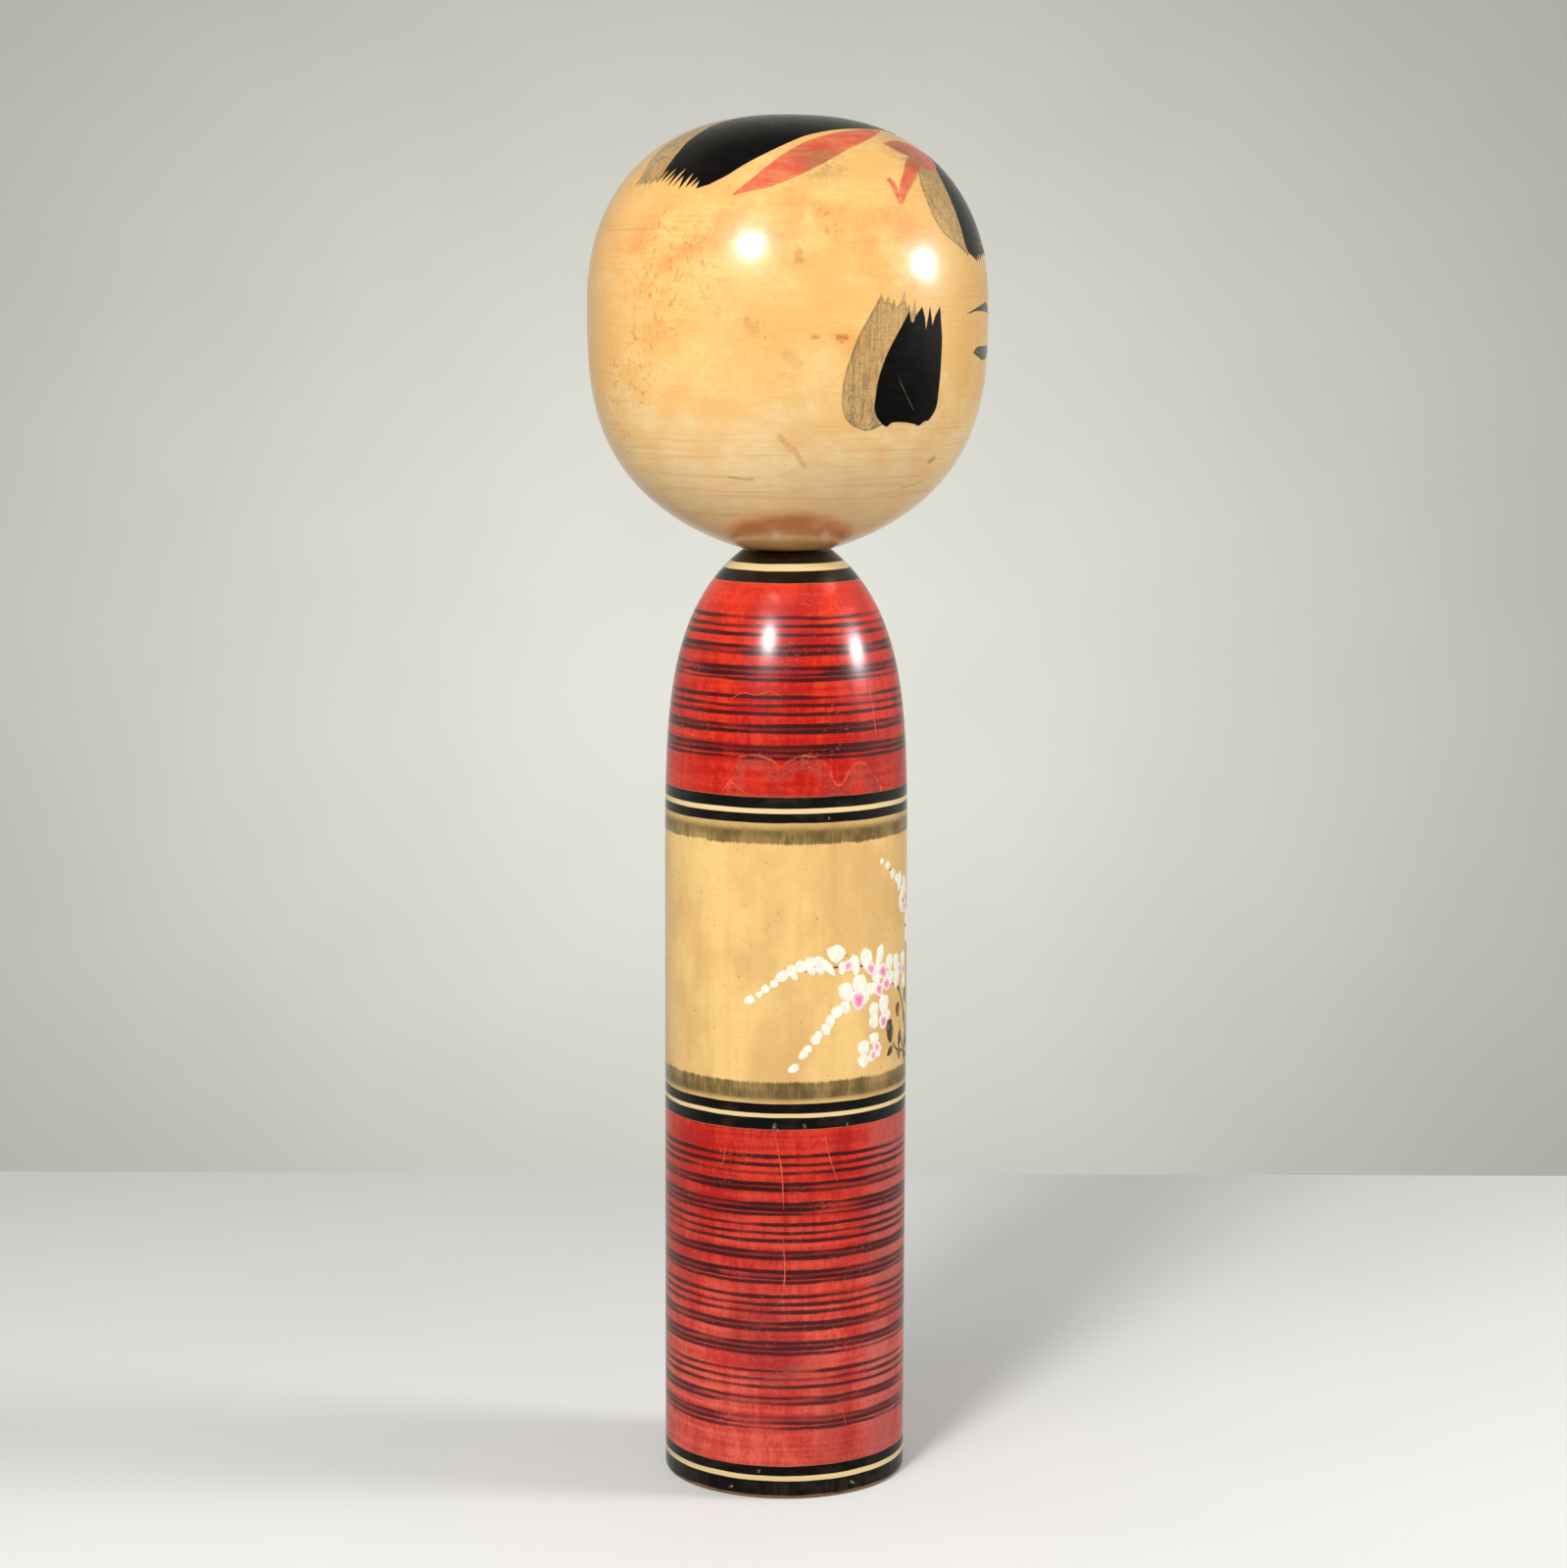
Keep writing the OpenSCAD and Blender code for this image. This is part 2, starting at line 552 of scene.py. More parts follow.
# the colour of a painted sheen on the red
SHEEN_PINK = colour(182, 98, 94)
SCUFF_PINK = colour(216, 142, 118)
STAIN_GREY = colour(146, 84, 72)
STAIN_ORANGE = colour(232, 112, 72)
RUBBED_WOOD = colour(186, 140, 90)
RING_INK = colour(50, 10, 10)
LOW_RING_INK = colour(84, 26, 28)
RING_FILL = colour(92, 16, 18)
LOW_RING_FILL = colour(120, 40, 40)
OLIVE = colour(134, 112, 58)
DARK_OLIVE = colour(84, 67, 28)
RIBBON_RED = colour(208, 42, 46)

# Marks of handling on the head: azimuth, height, azimuth, height, reach and strength
HEAD_MARKS = (
    (-94, 282.5, -90.5, 279, 1.2, 0.32), (-90, 279.5, -86.5, 275, 1.0, 0.38),
    (-38.5, 275.5, -37, 276, 1.2, 0.7), (-85, 307.5, -84, 307.5, 1.0, 0.45),
    (-78, 307.5, -76, 307.5, 1.1, 0.7), (-77, 306.5, -76.5, 306.5, 0.9, 0.5),
    (-89, 328.5, -89, 326.5, 2.0, 0.42), (-112, 272, -104, 271.5, 0.6, 0.5),
    (-46, 268.5, -37, 270, 0.8, 0.3), (-103, 311, -101, 308.5, 2.2, 0.2),
    (-92, 303, -89.5, 301, 2.4, 0.2), (126, 284, 133, 279, 1.6, 0.3), (74, 270, 92, 271, 0.7, 0.5),
    (168, 300, 172, 297, 2.2, 0.25),
)
# Places with brown flecks: azimuth, height, azimuth, height and reach
FLECKED = (
    (-132, 338, -135, 318, 8), (-136, 312, -140, 292, 7), (-121, 332, -128, 312, 8),
    (-84, 338, -80, 335, 6), (-117, 325, -112, 316, 6), (-150, 300, -152, 280, 7),
    (-102, 312, -98, 307, 4), (74, 332, 70, 312, 9), (120, 300, 126, 284, 7), (152, 330, 148, 308, 9),
    (30, 330, 34, 318, 7), (176, 296, 172, 276, 8),
)
# Places where the wax has gone orange: azimuth, height and reach
ORANGE_PLACES = (
    (-132, 324, 26), (-113, 334, 20), (-88, 338, 18), (-60, 330, 18), (-78, 306, 9), (105, 326, 26),
    (165, 300, 20),
)
# Places where dirt has greyed the top of the head, in the same way
SOILED = ((-80, 351, 10), (-36, 353, 10), (84, 350, 10))
# How much higher on the front and back than on the sides the painted reflection of the red shoulder and
# painted shade round the neck end
NECK_REFLECTION_RISE = 26.0


def head_wood(p):
    """The head's waxed wood and its relief: gold above and beige below, with lathe lines and marks."""
    streak = p.cloud(50, 0.7, detail=4, roughness=0.65, shift=3)
    fine = p.cloud(7, 0.28, shift=11)
    blotch = p.cloud(13, 9, detail=5, roughness=0.6, shift=7)
    mottle = p.cloud(2.6, 2.0, detail=4, roughness=0.65, shift=19)
    rough = p.cloud(1.6, 1.1, detail=4, roughness=0.7, shift=43) - 0.5

    # gold above and beige below, orange in places and pale in others
    beige = p.ramp(p.z + (blotch - 0.5) * 50.0, 306, 270)
    warm = p.ramp(p.spots(face, ORANGE_PLACES, rough), 0.0, 1.0, 0.2, 0.85)
    base = p.coats(
        HONEY,
        (beige, BEIGE),
        (p.ramp(blotch, 0.4, 0.66) * warm, ORANGE_WOOD),
        (p.ramp(mottle, 0.48, 0.72) * 0.3, GOLD),
        (p.ramp(mottle, 0.6, 0.3) * p.ramp(blotch, 0.54, 0.4) * 0.3, PALE_WOOD),
    )

    # lathe lines, which show most low on the head and behind it
    low = p.ramp(p.z, 288, 276) * p.ramp(p.z, 256, 262)
    behind = p.band(p.z, 326, 338, 5) * p.ramp(p.y, 5, 25)
    lines = p.ramp(p.cloud(90, 8, detail=1, shift=29), 0.42, 0.62, 0.05, 0.25) + p.most(low, behind) * 0.3

    # a painted reflection of the red shoulder and painted shade under the head, round the neck
    sideways = p.math("DIVIDE", abs(p.x), p.most(p.radius(), 1.0))
    neck_level = p.z + (1.0 - sideways) * NECK_REFLECTION_RISE + rough * 1.8
    neck_reflection_shade = p.ramp(neck_level, HEAD_Z + 13.2, HEAD_Z + 9.4) * p.ramp(blotch, 0.3, 0.6, 0.6, 0.85)

    # flecks, marks of handling and dirt
    stray = p.ramp(p.cloud(0.9, 0.5, detail=1, shift=37), 0.74, 0.82)
    fleck = p.ramp(p.cloud(1.3, 1.7, detail=5, roughness=0.7, shift=31), 0.53, 0.64)
    flecked = p.spots(face, FLECKED, rough)
    combed = p.ramp(p.cloud(2.2, 0.5, shift=47), 0.3, 0.55, 0.45, 1.0)
    marks = p.most(*[p.spots(face, [mark], rough) * much for *mark, much in HEAD_MARKS])
    soiled = p.spots(face, SOILED, rough)
    base = p.coats(
        base,
        (p.ramp(streak, 0.5, 0.72) * lines, AMBER),
        (p.ramp(fine, 0.5, 0.75) * 0.24, AMBER),
        # painted reflection and painted shade round the neck
        (neck_reflection_shade, NECK_REFLECTION_BROWN),
        (stray * 0.45, UMBER),
        (fleck * flecked * 0.55, FLECK_BROWN),
        (marks * combed, MARK_BROWN),
        (soiled * p.ramp(mottle, 0.35, 0.6) * 0.5, DIRT),
    )
    return base, streak + fine


def bare_body_wood(p):
    """The body's bare wood, golden and softly uneven, and its faint grain up and down."""
    grain = p.cloud(4, 70, shift=5)
    base = p.coats(
        colour(240, 199, 125),
        (p.ramp(p.cloud(16, 26, shift=9), 0.36, 0.66), colour(223, 178, 111)),
        (p.ramp(p.cloud(2.4, 2.0, shift=15), 0.5, 0.75) * 0.2, colour(206, 152, 86)),
        (p.ramp(grain, 0.52, 0.75) * 0.16, colour(190, 138, 76)),
        (p.ramp(p.cloud(12, 0.3, detail=2, shift=21), 0.52, 0.75) * 0.14, colour(196, 146, 84)),
        (p.ramp(p.cloud(1.2, 0.9, detail=1, shift=33), 0.73, 0.8) * 0.7, UMBER),
    )
    return base, grain


def make_head_material():
    p = Paint("waxed_head_wood")
    base, relief = head_wood(p)
    return p.finish(base, p.cloud(9, 4, detail=2, shift=51), (0.34, 0.44), relief, 0.02, coat=0.85)


def make_hair_wash_material():
    p = Paint("grey_hair_wash")
    wood, relief = head_wood(p)
    bristles = p.cloud(0.55, 9, roughness=0.6, shift=2, warp=0.25)
    broad = p.cloud(1.9, 26, detail=1, shift=6)
    hatch = p.cloud(5, 0.35, detail=2, shift=17)
    grit = p.cloud(0.55, 0.6, roughness=0.7, shift=27)
    texture = bristles * 0.9 + grit * 0.7 + (hatch * 0.3 + broad * 0.4)
    outline = p.band(p.attribute("edge"), 0.1, 0.5, 0.15) * 0.22
    dense = p.math("ADD", p.ramp(texture, 0.95, 1.4, 0.3, 0.84), outline, clamp=True)
    return p.finish(p.mix(dense, wood, GREY_WASH), grit, (0.34, 0.46), relief, 0.02)


def make_peg_material():
    p = Paint("bare_peg_wood")
    grain = p.cloud(1.2, 30)
    base = p.mix(p.ramp(grain, 0.4, 0.7), colour(214, 176, 120), colour(178, 132, 82))
    return p.finish(base, grain, (0.6, 0.75), grain, 0.04, coat=0.05)


# Heights of the painted bands, from the neck down: (low edge, high edge)
BLACK_BANDS = (
    (247.8, BODY_H + 1), (243.1, 246.1), (185.7, 188.7), (181.9, 184.4),
    (104.9, SPLIT_Z), (100.6, 103.8), (6.4, 9.1), (-1, 5.0),
)
CREAM_BANDS = ((246.1, 247.8), (184.45, 185.65), (103.8, 104.85), (5.05, 6.35))
RED_ZONES = ((188.7, 243.1), (9.1, 100.6))

# Groups of dark rings in the red: the height of each group's first strong line, and how far below
# it the other lines lie
RING_TOPS = (32.9, 53.3, 72.7, 91.1, 212.3, 232.4)
RING_LINES = (-2.2, 0.0, 2.1, 5.1, 6.8, 10.5, 12.1, 13.4)
RING_FILLS = ((5.1, 6.8), (10.5, 12.6))
# How far above its first strong line a group starts, and half a line's width
GROUP_LEAD = 3.5
LINE_HALF = 0.4
# How quickly the chisel's rings follow each other under the foot, in radians a millimetre
CHISEL_RINGS = 2.6

# Places where a painted sheen makes the red paler and duller pink: azimuth, height, azimuth, height and reach
PINK_SHEEN_PLACES = (
    (-34, 97, -34, 60, 13), (-40, 40, -40, 12, 11), (60, 90, 60, 40, 14), (150, 70, 150, 20, 13),
)


def in_bands(p, height, bands, soft=0.1):
    """1 where the height is in one of the bands."""
    return p.most(*[p.band(height, low, high, soft) for low, high in bands])


def ring_pattern(p, height):
    """How far this height is from the nearest ring line, and how much it lies in a filled ring."""
    top = RING_TOPS[0]
    for lower, upper in zip(RING_TOPS, RING_TOPS[1:]):
        past = p.math("GREATER_THAN", height, lower + GROUP_LEAD)
        top = p.math("MULTIPLY_ADD", past, upper - lower, top)
    below = top - height
    nearest = abs(below - RING_LINES[0])
    for line in RING_LINES[1:]:
        nearest = p.math("MINIMUM", nearest, abs(below - line))
    return nearest, in_bands(p, below, RING_FILLS, 0.15)


def olive_washes(p, wood):
    """Olive-brown wash inside the ends of the panel, drawn out by the fibres of the wood."""
    fibre = p.cloud(0.5, 6, roughness=0.65, shift=71)
    pool = p.cloud(5, 9, shift=73)
    drawn = (fibre - 0.5) * 1.5 + (pool - 0.5) * 1.3
    upper = p.z + drawn
    dark = p.most(
        p.ramp(upper, 176.0, 176.7) * p.ramp(upper, 181.4, 179.4),
        p.ramp(p.z, 107.9, 109.3) * p.ramp(p.z - drawn, 113.6, 112.8),
    )
    pale = p.most(p.band(upper, 178.0, 183.0, 0.8), p.band(p.z, 107.6, 111.0, 0.5))
    density = p.ramp(fibre * 0.65 + pool * 1.2, 0.66, 1.16, 0.6, 0.92)
    return p.coats(wood, (pale * 0.38, OLIVE), (dark * density, DARK_OLIVE))


def ringed_red(p, height, mottle, sweep):
    """Red brushed on round the lathe, faded low down, with rings of translucent black over it."""
    faded = p.ramp(p.z, 96, 20) * 0.9
    patch = p.cloud(9, 26, shift=89)
    strand = p.cloud(2.2, 34, shift=91)
    lightness = sweep * 0.8 + patch * 0.8 + mottle * 0.6 + strand * 0.45
    near_shoulder = p.ramp(p.z, 228, 243) * 0.55
    light = p.math("ADD", p.ramp(lightness, 1.13, 1.56, 0.0, 0.85), near_shoulder, clamp=True)
    # a painted sheen, which makes the red paler and duller pink in places
    pink_sheen = p.spots(panel, PINK_SHEEN_PLACES, 0.0) * p.ramp(mottle, 0.3, 0.6, 0.3, 0.6)

    nearest, fills = ring_pattern(p, height)
    uneven = p.cloud(22, 2.2, shift=97)
    half = p.ramp(uneven, 0.3, 0.7, LINE_HALF * 0.55, LINE_HALF * 1.35)
    line = p.ramp(nearest - half, 0.3, -0.12) * p.ramp(uneven, 0.3, 0.52, 0.5, 0.94)
    broken = p.ramp(uneven + (mottle - 0.5) * 0.5, 0.33, 0.62, 0.35, 0.92)
    return p.coats(
        p.mix(faded, RED, LOW_RED),
        (light, p.mix(faded, LIGHT_RED, LOW_LIGHT_RED)),
        (p.ramp(p.cloud(22, 30, shift=95), 0.48, 0.68, 0.0, 0.5), PLUM),
        # painted sheen
        (pink_sheen, SHEEN_PINK),
        (fills * broken, p.mix(faded, RING_FILL, LOW_RING_FILL)),
        (line, p.mix(faded, RING_INK, LOW_RING_INK)),
    )


def stained(p, red, mottle):
    """Old water stains on the red: a pale outline with a greyed, crazed rim inside it."""
    depth = (p.attribute("stain") - 0.5) * STAIN_RANGE + (mottle - 0.5) * 1.6
    crazed = p.ramp(p.cloud(0.8, 0.6, detail=4, roughness=0.7, shift=99), 0.4, 0.62)
    in_places = p.ramp(p.cloud(5, 3, detail=2, shift=101), 0.4, 0.6, 0.06, 0.5)
    outline = p.band(depth, -0.2, 0.3, 0.22) * in_places * p.ramp(p.z, 140, 150, 0.25, 1.0)
    return p.coats(red, (p.band(depth, 0.7, 3.6, 0.9) * crazed * 0.62, STAIN_GREY), (outline, STAIN_ORANGE))


def make_body_material():
    p = Paint("painted_body")
    wood, grain = bare_body_wood(p)
    height = p.z + (p.cloud(11, 7, detail=2, shift=61) - 0.5) * 0.4
    sweep = p.cloud(36, 1.4, detail=4, roughness=0.6, shift=83)
    mottle = p.cloud(1.0, 1.6, detail=4, roughness=0.65, shift=93)
    in_red = in_bands(p, height, RED_ZONES, 0.12)
    red = stained(p, ringed_red(p, height, mottle, sweep), mottle)

    # the black bands are worn brown in places and at the foot
    worn = p.ramp(p.cloud(7, 3, shift=102), 0.5, 0.72, 0.0, 0.7)
    foot_worn = p.ramp(p.z, 5, 4) * p.ramp(p.cloud(2.2, 14, shift=105), 0.4, 0.62) * 0.8
    ink = p.mix(p.most(worn, foot_worn), INK, BROWN_INK)

    # scuffs, a rubbed foot, and bare wood underneath with the rings that the chisel left
    scuff = p.ramp(p.cloud(1.1, 0.5, detail=4, roughness=0.7, shift=109), 0.56, 0.68)
    rubbed = p.ramp(p.cloud(12, 10, shift=113), 0.5, 0.66)
    foot_edge = p.ramp(p.z + p.cloud(5, 5, detail=2, shift=127), 1.8, 1.2)
    chisel = p.ramp(p.math("SINE", p.radius() * CHISEL_RINGS), -0.6, 1.0, 0.0, 0.3)
    underside = p.mix(chisel, p.mix(0.35, wood, AMBER), UMBER)
    base = p.coats(
        olive_washes(p, wood),
        (in_red, red),
        (in_bands(p, height, BLACK_BANDS), ink),
        (in_bands(p, height, CREAM_BANDS), CREAM),
        (scuff * rubbed * in_red * 0.42, SCUFF_PINK),
        (foot_edge * 0.7, RUBBED_WOOD),
        (p.ramp(p.z, 0.12, 0.04), underside),
    )
    sheen = p.cloud(8, 5, detail=2, shift=131)
    return p.finish(base, sheen, (0.32, 0.44), sweep * 0.7 + grain, 0.02, coat_roughness=0.22, gloss=0.22)


# Half the width of the fine scratches in the hair, as a share of the noise that draws them
SCRATCH_HALF = 0.003


def make_hair_material():
    p = Paint("black_hair_paint")
    sheen = p.cloud(6, 2, shift=3)
    base = p.mix(p.ramp(sheen, 0.45, 0.8) * 0.5, INK, colour(22, 18, 15))
    off_line = abs(p.cloud(18, 34, detail=0, shift=8) - 0.5)
    scratch = p.ramp(off_line, SCRATCH_HALF, SCRATCH_HALF * 0.3)
    in_places = p.ramp(p.cloud(12, 9, detail=2, shift=14), 0.55, 0.65)
    base = p.mix(scratch * in_places * 0.5, base, colour(150, 140, 125))
    return p.finish(base, sheen, (0.3, 0.42), sheen, 0.01, coat=0.8, gloss=0.05)


def make_ribbon_material():
    p = Paint("red_ribbon_paint")
    wood, relief = head_wood(p)
    wet = p.cloud(5, 4, detail=4, roughness=0.6, shift=21)
    drag = p.cloud(7, 0.5, shift=25)
    cover = p.ramp(wet * 0.8 + drag * 0.5, 0.45, 0.85, 0.6, 0.9)
    cover = cover * p.ramp(p.attribute("edge") + wet * 0.5, 0.1, 0.9, 0.72, 1.0)
    base = p.mix(cover, wood, RIBBON_RED)
    soiled = p.spots(face, SOILED, wet - 0.5)
    base = p.mix(soiled * p.ramp(drag, 0.3, 0.6, 0.5, 1.0) * 0.62, base, colour(134, 96, 62))
    return p.finish(base, wet, (0.34, 0.44), relief, 0.02)


def make_face_material():
    p = Paint("face_ink")
    thin = p.cloud(1.5, 1, detail=2, shift=5)
    inside = p.mix(p.ramp(thin, 0.35, 0.7), colour(44, 44, 34), colour(92, 94, 70))
    base = p.mix(p.ramp(p.attribute("edge"), 0.25, 0.6), colour(22, 20, 17), inside)
    return p.finish(base, thin, (0.32, 0.42), thin, 0.01)


def make_petal_material():
    p = Paint("white_petal_paint")
    daub = p.cloud(1.3, 1.8, shift=9)
    base = p.mix(p.ramp(daub, 0.35, 0.7), colour(247, 243, 228), colour(234, 226, 206))
    base = p.mix(p.ramp(p.attribute("edge"), 0.4, 0.0, 0.0, 0.4), base, colour(232, 208, 160))
    return p.finish(base, daub, (0.42, 0.55), daub, 0.08, coat=0.3)


def make_heart_material():
    p = Paint("pink_heart_paint")
    daub = p.cloud(1.0, 1.4, detail=2, shift=13)
    depth = p.attribute("edge") + (daub - 0.5) * 0.9
    base = p.mix(p.ramp(depth, 0.0, 1.1), colour(247, 238, 226), colour(242, 156, 184))
    base = p.mix(p.ramp(depth, 0.8, 1.9, 0.0, 0.75), base, colour(230, 104, 152))
    return p.finish(base, daub, (0.4, 0.55), daub, 0.06, coat=0.3)


def make_leaf_material():
    p = Paint("dark_leaf_paint")
    wood, grain = bare_body_wood(p)
    daub = p.cloud(1.6, 2.4, shift=19)
    base = p.mix(p.ramp(daub, 0.3, 0.6, 0.6, 0.97), wood, colour(46, 38, 24))
    return p.finish(base, daub, (0.34, 0.44), grain, 0.02)


def make_dusty_material(name, across, up, shift, first, second):
    """The dull inside of scratches or chips."""
    p = Paint(name)
    dust = p.cloud(across, up, shift=shift)
    return p.finish(p.mix(p.ramp(dust, 0.35, 0.65), first, second), dust, (0.5, 0.65), dust, 0.02, coat=0.2)


def wear(piece, material):
    piece.data.materials.clear()
    piece.data.materials.append(material)


# ---------------------------------------------------------------- the turned pieces

# Old water stains on the red: outlines of (azimuth, height)
STAINS = (
    (
        (-124, 186), (-119, 192), (-116.5, 198), (-108, 199.5), (-99, 198.5), (-95, 196.5), (-90, 198.5),
        (-82.5, 199.5), (-74, 197.5), (-67, 191), (-61, 195.5), (-54.5, 197), (-48.5, 194.5), (-46, 186),
    ),
    ((58, 186), (64, 196), (74, 199), (84, 196), (89, 192), (97, 198), (108, 200.5), (118, 197), (123, 186)),
    (
        (-114, 33), (-107, 35), (-101, 34), (-95, 37), (-87, 38), (-80, 36.5), (-84, 33.5), (-89, 32.5),
        (-94, 30), (-103, 31),
    ),
    ((120, 44), (131, 49), (137, 46.5), (143, 48.5), (150, 43), (138, 40.5), (127, 42.5)),
)
# The range of the depths that are stored, half of it inside a stain's outline
STAIN_RANGE = 10.0


def add_stains(piece):
    """Stores on the body's points how far they lie inside a water stain."""
    places = points_of(piece)
    on_side = np.column_stack([np.arctan2(places[:, 0], -places[:, 1]) * BODY_R, places[:, 2]])
    depth = np.full(len(places), -STAIN_RANGE)
    for stain in STAINS:
        outline = smooth(panel.unrolled(stain + stain[:1]))
        depth = np.maximum(depth, depth_inside(on_side, outline))
    store(piece, "stain", np.clip(0.5 + depth / STAIN_RANGE, 0, 1))


def points_of(piece):
    """A piece's points, in millimetres."""
    places = np.zeros(len(piece.data.vertices) * 3)
    piece.data.vertices.foreach_get("co", places)
    return places.reshape(-1, 3) / MM


def make_body_lower(material):
    side = [(BODY_R, z) for z in np.linspace(BASE_BEVEL, SPLIT_Z, SHOULDER_STEPS)[1:]]
    foot = [
        (0, 0),
        (BODY_R - BASE_BEVEL - 0.2, 0),
        (BODY_R - BASE_BEVEL, 0.06),
        (BODY_R - 0.1, BASE_BEVEL - 0.1),
        (BODY_R, BASE_BEVEL + 0.1),
    ]
    outline = foot + side + [(0, SPLIT_Z)]
    shares = [UNDERSIDE_SHARE] + [1.0] * (len(outline) - 3) + [HIDDEN_SHARE]
    made = lathe("body_lower", outline, shares, BODY_SEGMENTS, "torso", "painted_body")
    add_stains(made)
    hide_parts("body")
    wear(made, material)


def make_body_upper(material):
    side = [(BODY_R, z) for z in np.linspace(SPLIT_Z, SHOULDER_Z, 18)]
    skin = side[:-1] + [tuple(p) for p in shoulder]
    groove = [
        (max(SOCKET_R, SOCKET_R + (BEAD_OUT - BEAD_HIDDEN) * math.cos(a)), BEAD_Z - GROOVE_HALF * math.sin(a))
        for a in np.linspace(-math.pi / 2, math.pi / 2, 9)
    ]
    floor = peg_low.z - END_ROOM
    socket = [(SOCKET_R, BODY_H)] + groove + [(SOCKET_R, floor), (0, floor)]
    shares = [HIDDEN_SHARE] + [1.0] * (len(skin) - 1) + [HIDDEN_SHARE] * len(socket)
    outline = [(0, SPLIT_Z)] + skin + socket
    made = lathe("body_upper", outline, shares, BODY_SEGMENTS, "torso", "painted_body")
    add_stains(made)
    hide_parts("body")
    wear(made, material)


def make_head(material):
    mortise = [(0, peg_high.z + END_ROOM), (PEG_R, peg_high.z + END_ROOM), (PEG_R, HEAD_Z)]
    skin = [tuple(p) for p in jaw[::-1]] + [tuple(p) for p in crown[1:]]
    shares = [HIDDEN_SHARE] * len(mortise) + [1.0] * (len(skin) - 1)
    made = lathe("head_turned", mortise + skin, shares, HEAD_SEGMENTS, "head", "waxed_head")
    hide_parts("head")
    wear(made, material)


# ---------------------------------------------------------------- the painted hair, ribbons and face

def both_sides(outlines):
    return [shape for outline in outlines for shape in (np.array(outline, float), mirrored(outline))]


def hair_on_crown():
    """The cap with two swallow tails behind, and the two forelock strokes that meet in front."""
    outer = smooth([
        (0, -29), (-6, -26), (-13, -22.5), (-19, -18), (-26.5, -9.5), (-31, -3.5), (-35, 1.5), (-38.5, 7),
        (-41.5, 13.5), (-43.5, 19), (-44, 25),
    ])
    tips = [
        (-43, 28), (-41, 26.5), (-41.5, 29.5), (-39.5, 26.5), (-40.5, 31), (-37, 27.5), (-39.5, 33),
        (-36, 30.5), (-37, 34.5), (-33.5, 29), (-35.5, 36), (-33, 32.5), (-33.5, 36.5), (-31, 31.5),
        (-32, 37.5), (-29.5, 34), (-30, 38),
    ]
    inner = smooth([
        (-29, 36), (-26.5, 33.5), (-23.5, 30.5), (-20, 27.5), (-16.5, 23.5), (-13.5, 20.5), (-8, 12.5),
        (-4, 8.5), (0, 7),
    ])
    half = np.vstack([outer, tips, inner])
    cap = np.vstack([half, [[0, 7]], mirrored(half)[:-1]])
    bristle_start, bristle_end = (-27.5, -64.5), (-3, -67.5)
    stroke = [(-1, -38.5), (-9.5, -40), (-17, -41.5), (-23.5, -46), (-29, -53), (-32, -59.5), bristle_start]
    bristles = ragged(bristle_start, bristle_end, (0, -1), 9, 1.8, seed=9)
    return [cap] + both_sides([np.vstack([smooth(stroke), bristles, [(-1, -64)]])])


def washes_on_crown():
    """Grey wash outside the swallow tails and behind the forelocks, tucked under the black."""
    tress = np.vstack([
        smooth([(-7, 11), (-6, 20), (-9, 30), (-14, 37.5), (-19, 41.5), (-21, 43.5)]),
        [(-22, 45.5), (-23, 43), (-24, 44.5), (-25, 42), (-26.5, 43), (-27, 40), (-28.5, 41.5), (-29, 38.5)],
        [(-30.5, 39), (-31, 33), (-22, 24), (-12, 13)],
    ])
    forelock = smooth([
        (-25, -34.5), (-33, -37), (-36.5, -39.5), (-39, -42), (-40.5, -45.5), (-40.5, -49), (-38.5, -53),
        (-35, -58), (-32, -61), (-26, -57), (-21, -50), (-17, -42.5), (-20, -37), (-25, -34.5),
    ])
    return both_sides([tress, forelock])


def on_both_cheeks(outlines):
    """Outlines of (azimuth, height) as outlines of the face's chart, on both sides of the doll."""
    return both_sides([face.unrolled(outline) for outline in outlines])


def sidelocks():
    """The lock in front of each ear, drawn upwards into dry bristles."""
    bottom = smooth([
        (-44, 294), (-44, 289.5), (-46, 286.5), (-48, 286), (-50, 285), (-52, 285.5), (-56, 286),
        (-60, 286), (-62, 285), (-65, 287), (-66.5, 289.5), (-66.5, 293), (-66, 297), (-64, 302.5),
        (-61, 307.5), (-58.5, 311),
    ])
    top = [
        (-56.5, 314), (-56, 311.5), (-55, 311), (-54.5, 312.5), (-52, 315), (-51, 312.5), (-50.5, 309),
        (-49, 315), (-48, 310), (-47, 312.5), (-45, 315), (-44, 307.5),
    ]
    return on_both_cheeks([np.vstack([bottom, top])])


def sidelock_washes():
    """The grey wash behind each sidelock, tucked under the black."""
    outer = smooth([
        (-62, 286), (-64.5, 285), (-68, 284), (-72, 285), (-75, 287), (-76.5, 290.5), (-76.5, 296),
        (-75, 301.5), (-72.5, 307.5), (-70, 311.5), (-67, 316),
    ])
    top = [
        (-65.5, 318.5), (-64.5, 316), (-63.5, 318), (-62.5, 315.5), (-61.5, 317), (-61, 315),
        (-60, 315.5), (-58, 319), (-57.5, 314.5), (-56.5, 316), (-56, 312.5), (-54.5, 317.5), (-54, 313),
        (-53, 314), (-53.5, 309), (-58, 303), (-61, 294),
    ]
    return on_both_cheeks([np.vstack([outer, top])])


